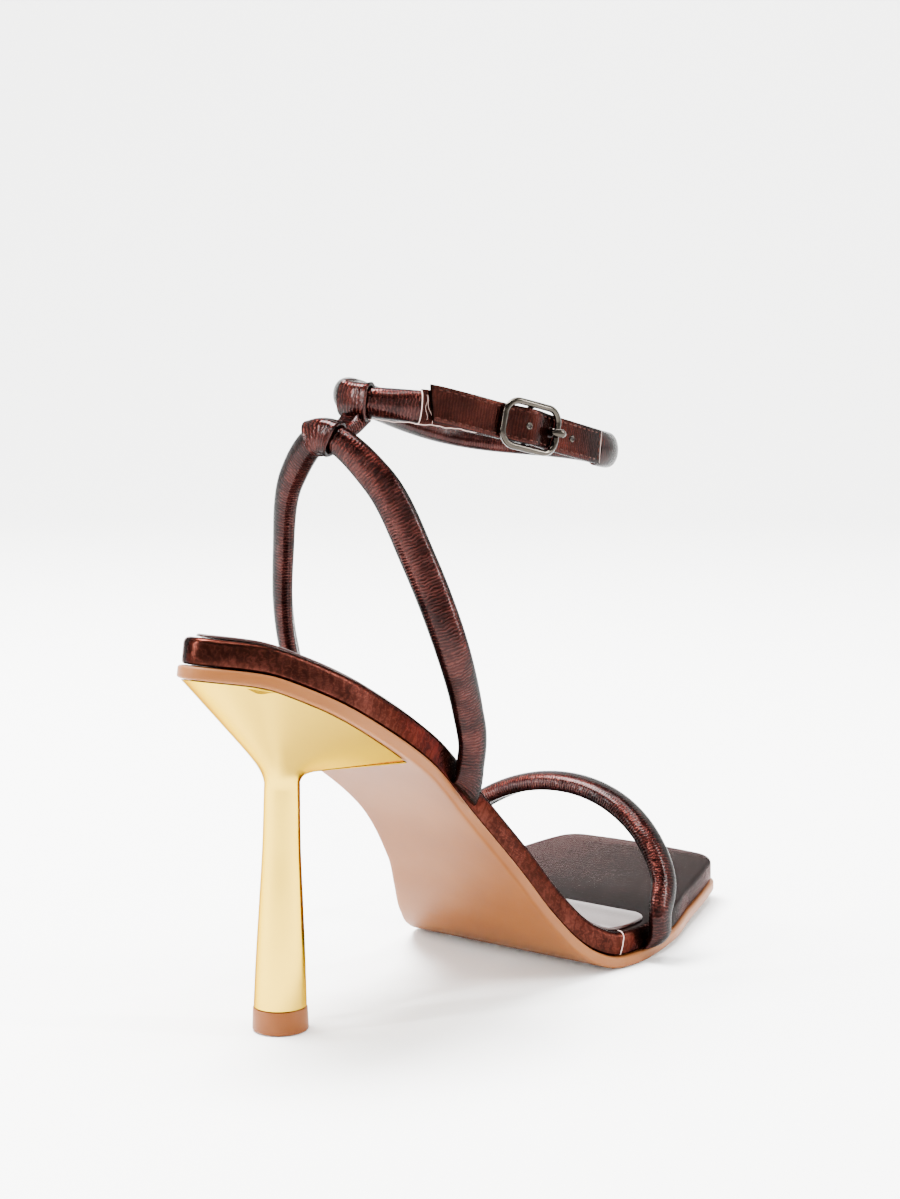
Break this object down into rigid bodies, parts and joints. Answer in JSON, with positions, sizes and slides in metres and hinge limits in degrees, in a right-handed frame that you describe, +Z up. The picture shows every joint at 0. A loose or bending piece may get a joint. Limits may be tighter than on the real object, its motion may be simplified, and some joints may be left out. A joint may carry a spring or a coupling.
{
  "type": "strappy heeled sandal",
  "caption": "Right high-heeled sandal: square open toe, padded toe strap, sling strap and buckled padded ankle strap joined by a leather keeper, slim round gold heel.",
  "frame": {"origin": "centre of the bounding box in plan, on the floor that the heel tip and the tread stand on", "axes": "+X towards the toe, +Y towards the inner side of the foot, +Z up"},
  "size_m": [0.2158, 0.0846, 0.159],
  "materials": {
    "bronze_leather": "crinkled metallic leather, dark bronze brown",
    "sock_lining": "glossy smooth lining, dusky brown",
    "tan_outsole": "satin tan",
    "gold_heel": "polished pale gold plating over plastic",
    "tan_tip": "dull tan",
    "nickel": "polished nickel"
  },
  "bodies": {
    "root": {"outsole": "tan_outsole", "insole": "bronze_leather", "sock": "sock_lining", "heel": "gold_heel", "heel_tip": "tan_tip", "toe_strap": "bronze_leather", "sling_strap": "bronze_leather", "strap_keeper": "bronze_leather", "ankle_strap": "bronze_leather", "buckle_strap": "bronze_leather", "billet": "bronze_leather", "buckle_frame": "nickel", "buckle_prong": "nickel", "eyelet_1": "nickel", "eyelet_2": "nickel"}
  },
  "joints": []
}
